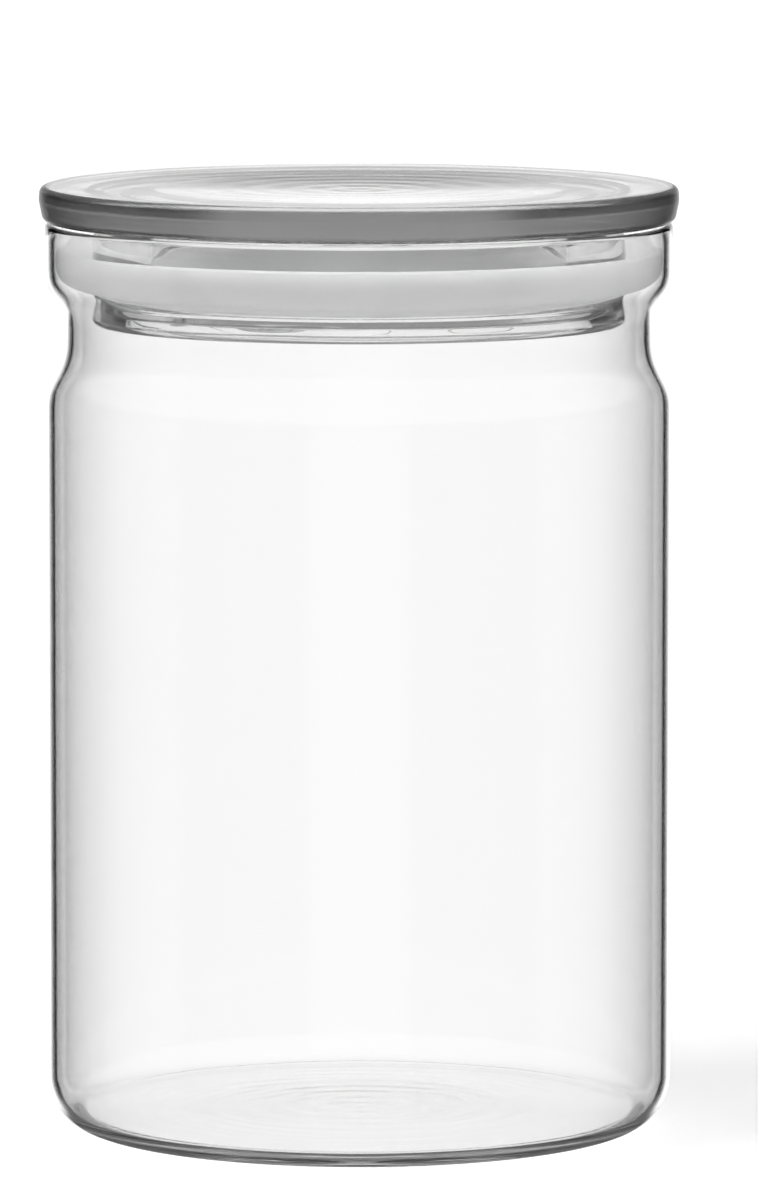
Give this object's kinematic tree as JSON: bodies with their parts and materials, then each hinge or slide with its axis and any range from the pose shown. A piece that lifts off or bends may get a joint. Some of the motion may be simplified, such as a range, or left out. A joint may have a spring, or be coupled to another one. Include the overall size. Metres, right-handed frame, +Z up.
{
  "type": "lidded glass canister",
  "caption": "Round clear glass canister with a waisted neck, a thick pressed glass lid with a hollow plug, and a frosted silicone ring that seals the lid in the mouth.",
  "frame": {"origin": "centre of the foot, on the surface that the canister stands on", "axes": "+Z up along the canister's axis of revolution, out of the mouth; X and Y are level and alike"},
  "size_m": [0.1184, 0.1184, 0.175],
  "materials": {
    "jar_glass": "clear, fire-polished, smooth",
    "lid_glass": "clear pressed glass, softly rippled top, polished edge",
    "seal_silicone": "frosted, translucent, neutral grey silicone"
  },
  "bodies": {
    "jar": {"jar": "jar_glass"},
    "seal": {"seal_ring": "seal_silicone"},
    "lid": {"lid": "lid_glass"}
  },
  "joints": [
    {"name": "lid_lift", "type": "slide", "parent": "jar", "child": "seal", "axis": [0, 0, 1], "range_m": [0, 0.06]},
    {"name": "lid_turn", "type": "hinge", "parent": "seal", "child": "lid", "pos_m": [0, 0, 0.1685], "axis": [0, 0, 1], "continuous": true}
  ]
}
